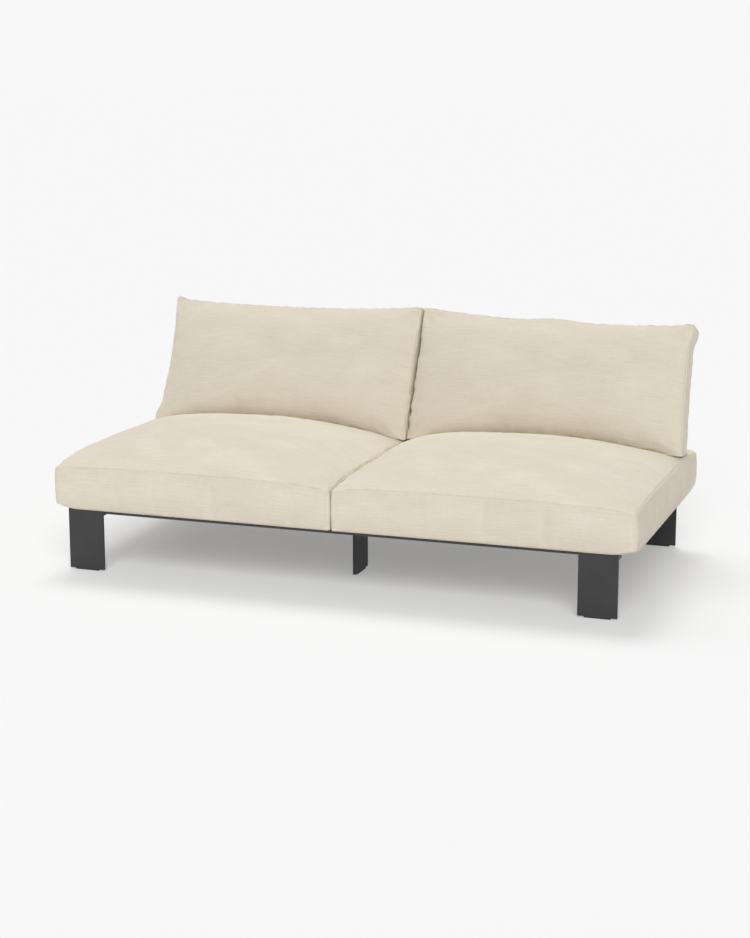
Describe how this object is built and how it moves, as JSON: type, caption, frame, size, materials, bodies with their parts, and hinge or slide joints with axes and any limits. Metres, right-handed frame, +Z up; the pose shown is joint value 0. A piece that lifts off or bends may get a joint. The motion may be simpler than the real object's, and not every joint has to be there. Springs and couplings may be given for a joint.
{
  "type": "outdoor sofa",
  "caption": "Low armless outdoor sofa: flat-bar deck on plate legs, loose crowned seat cushions, and back cushions leaning on a bent-bar backrest.",
  "frame": {"origin": "on the floor, under the middle of the sofa's box", "axes": "+X along the length to the sitter's left, +Y to the back, +Z up"},
  "size_m": [1.788, 0.9842, 0.7266],
  "materials": {
    "powder_coat": "matte",
    "cover_fabric": "matte",
    "foam": "matte",
    "black_plastic": "matte",
    "dark_steel": "satin",
    "zip_tape": "matte",
    "zip_metal": "satin"
  },
  "bodies": {
    "frame": {"back_rail": "powder_coat", "back_rail_bolts": "dark_steel", "backrest_foot_bolts": "dark_steel", "beam_end_caps": "black_plastic", "centre_glide": "black_plastic", "centre_leg": "powder_coat", "centre_leg_bolts": "dark_steel", "front_beam": "powder_coat", "front_left_glide": "black_plastic", "front_left_leg": "powder_coat", "front_rail": "powder_coat", "front_right_glide": "black_plastic", "front_right_leg": "powder_coat", "inner_left_upright": "powder_coat", "inner_right_upright": "powder_coat", "left_side_rail": "powder_coat", "leg_bolts": "dark_steel", "outer_left_upright": "powder_coat", "outer_right_upright": "powder_coat", "rear_beam": "powder_coat", "rear_left_glide": "black_plastic", "rear_left_leg": "powder_coat", "rear_rail": "powder_coat", "rear_right_glide": "black_plastic", "rear_right_leg": "powder_coat", "right_side_rail": "powder_coat", "slat_01": "powder_coat", "slat_02": "powder_coat", "slat_03": "powder_coat", "slat_04": "powder_coat", "slat_05": "powder_coat", "slat_06": "powder_coat", "slat_07": "powder_coat", "slat_08": "powder_coat", "slat_09": "powder_coat", "slat_10": "powder_coat", "slat_11": "powder_coat", "slat_12": "powder_coat"},
    "seat_cushion_left": {"seat_cover_left": "cover_fabric", "seat_core_left": "foam", "zip_tape_left": "zip_tape"},
    "back_cushion_left": {"back_cover_left": "cover_fabric", "back_core_left": "foam"},
    "zip_slider_left": {"zip_slider_left": "zip_metal"},
    "seat_cushion_right": {"seat_cover_right": "cover_fabric", "seat_core_right": "foam", "zip_tape_right": "zip_tape"},
    "back_cushion_right": {"back_cover_right": "cover_fabric", "back_core_right": "foam"},
    "zip_slider_right": {"zip_slider_right": "zip_metal"}
  },
  "joints": [
    {"name": "seat_left_lift", "type": "slide", "parent": "frame", "child": "seat_cushion_left", "axis": [0, 0, 1], "range_m": [0, 0.45]},
    {"name": "back_left_lift", "type": "slide", "parent": "seat_cushion_left", "child": "back_cushion_left", "axis": [0, 0, 1], "range_m": [0, 0.35]},
    {"name": "zip_left_slide", "type": "slide", "parent": "seat_cushion_left", "child": "zip_slider_left", "axis": [1, 0, 0], "range_m": [0, 0.62]},
    {"name": "seat_right_lift", "type": "slide", "parent": "frame", "child": "seat_cushion_right", "axis": [0, 0, 1], "range_m": [0, 0.45]},
    {"name": "back_right_lift", "type": "slide", "parent": "seat_cushion_right", "child": "back_cushion_right", "axis": [0, 0, 1], "range_m": [0, 0.35]},
    {"name": "zip_right_slide", "type": "slide", "parent": "seat_cushion_right", "child": "zip_slider_right", "axis": [1, 0, 0], "range_m": [0, 0.62]}
  ]
}
